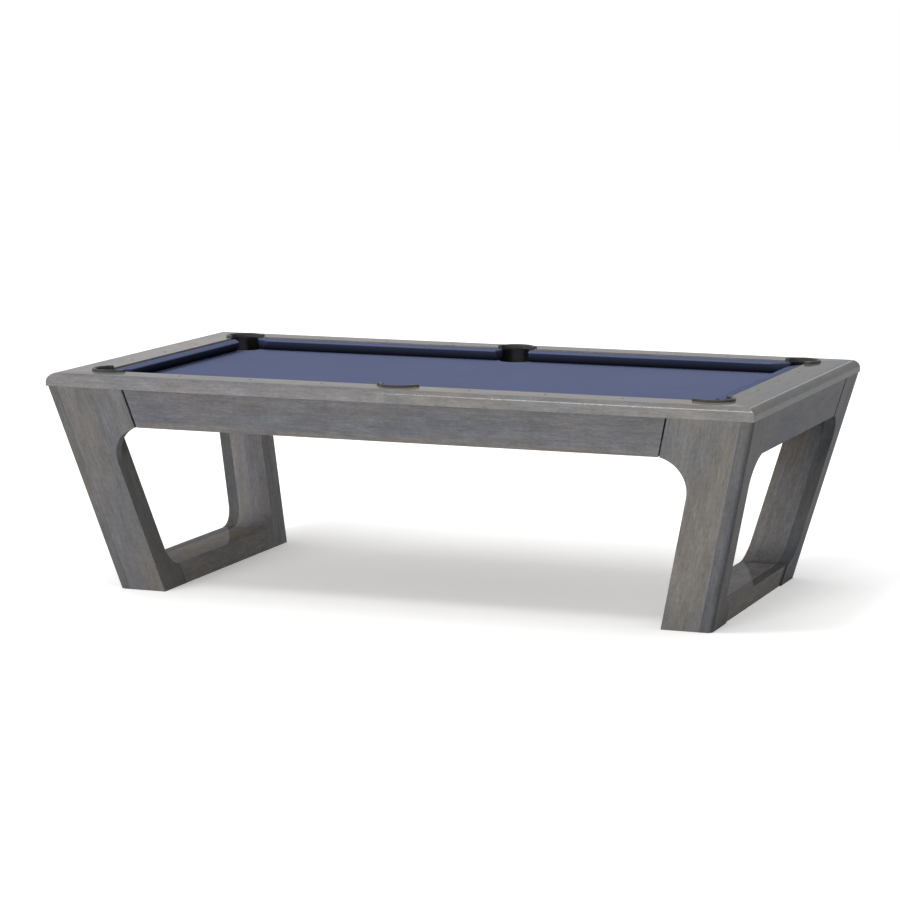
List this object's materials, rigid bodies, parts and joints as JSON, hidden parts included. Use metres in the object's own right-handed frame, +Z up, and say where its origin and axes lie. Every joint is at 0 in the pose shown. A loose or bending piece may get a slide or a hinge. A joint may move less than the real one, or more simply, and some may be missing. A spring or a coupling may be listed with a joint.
{
  "type": "pool table",
  "caption": "Slate pool table in grey-stained hardwood, with drop pockets, blue cloth and a base of leaning legs joined by floor stretchers.",
  "frame": {"origin": "on the floor under the middle of the table", "axes": "+X along the table, +Y across it towards the back, +Z up"},
  "size_m": [2.661, 1.5022, 0.827],
  "materials": {
    "rail_wood": "grey-washed maple under satin lacquer",
    "base_wood": "grey-washed maple under satin lacquer",
    "frame_wood": "bare sawn softwood",
    "slate": "honed slate",
    "bed_cloth": "napped woollen billiard cloth, slate blue",
    "cushion": "slate blue cloth over rubber",
    "casting": "dark gunmetal",
    "liner": "glossy black",
    "foot_metal": "zinc-plated steel"
  },
  "bodies": {
    "table": {"slate_middle": "slate", "slate_left": "slate", "slate_right": "slate", "bed_cloth": "bed_cloth", "end_rail_left": "rail_wood", "end_rail_right": "rail_wood", "side_rail_front_left": "rail_wood", "side_rail_front_right": "rail_wood", "side_rail_back_left": "rail_wood", "side_rail_back_right": "rail_wood", "end_cushion_left": "cushion", "end_cushion_right": "cushion", "side_cushion_front_left": "cushion", "side_cushion_front_right": "cushion", "side_cushion_back_left": "cushion", "side_cushion_back_right": "cushion", "side_casting_front": "casting", "side_casting_back": "casting", "corner_casting_front_left": "casting", "corner_casting_front_right": "casting", "corner_casting_back_left": "casting", "corner_casting_back_right": "casting", "side_liner_front": "liner", "side_liner_back": "liner", "corner_liner_front_left": "liner", "corner_liner_front_right": "liner", "corner_liner_back_left": "liner", "corner_liner_back_right": "liner", "frame_long_beam_front": "frame_wood", "frame_long_beam_back": "frame_wood", "frame_end_beam_left": "frame_wood", "frame_end_beam_right": "frame_wood", "frame_cross_beam_left": "frame_wood", "frame_cross_beam_middle": "frame_wood", "frame_cross_beam_right": "frame_wood", "side_apron_front": "base_wood", "side_apron_back": "base_wood", "end_apron_left": "base_wood", "end_apron_right": "base_wood", "leg_post_front_left": "base_wood", "leg_post_front_right": "base_wood", "leg_post_back_left": "base_wood", "leg_post_back_right": "base_wood", "leg_board_front_left": "base_wood", "leg_board_front_right": "base_wood", "leg_board_back_left": "base_wood", "leg_board_back_right": "base_wood", "stretcher_beam_left": "base_wood", "stretcher_beam_right": "base_wood", "stretcher_board_left": "base_wood", "stretcher_board_right": "base_wood"},
    "foot_front_left": {"levelling_foot_front_left": "foot_metal"},
    "foot_front_right": {"levelling_foot_front_right": "foot_metal"},
    "foot_back_left": {"levelling_foot_back_left": "foot_metal"},
    "foot_back_right": {"levelling_foot_back_right": "foot_metal"}
  },
  "joints": [
    {"name": "level_front_left", "type": "slide", "parent": "table", "child": "foot_front_left", "axis": [0, 0, -1], "range_m": [0, 0.015]},
    {"name": "level_front_right", "type": "slide", "parent": "table", "child": "foot_front_right", "axis": [0, 0, -1], "range_m": [0, 0.015]},
    {"name": "level_back_left", "type": "slide", "parent": "table", "child": "foot_back_left", "axis": [0, 0, -1], "range_m": [0, 0.015]},
    {"name": "level_back_right", "type": "slide", "parent": "table", "child": "foot_back_right", "axis": [0, 0, -1], "range_m": [0, 0.015]}
  ]
}
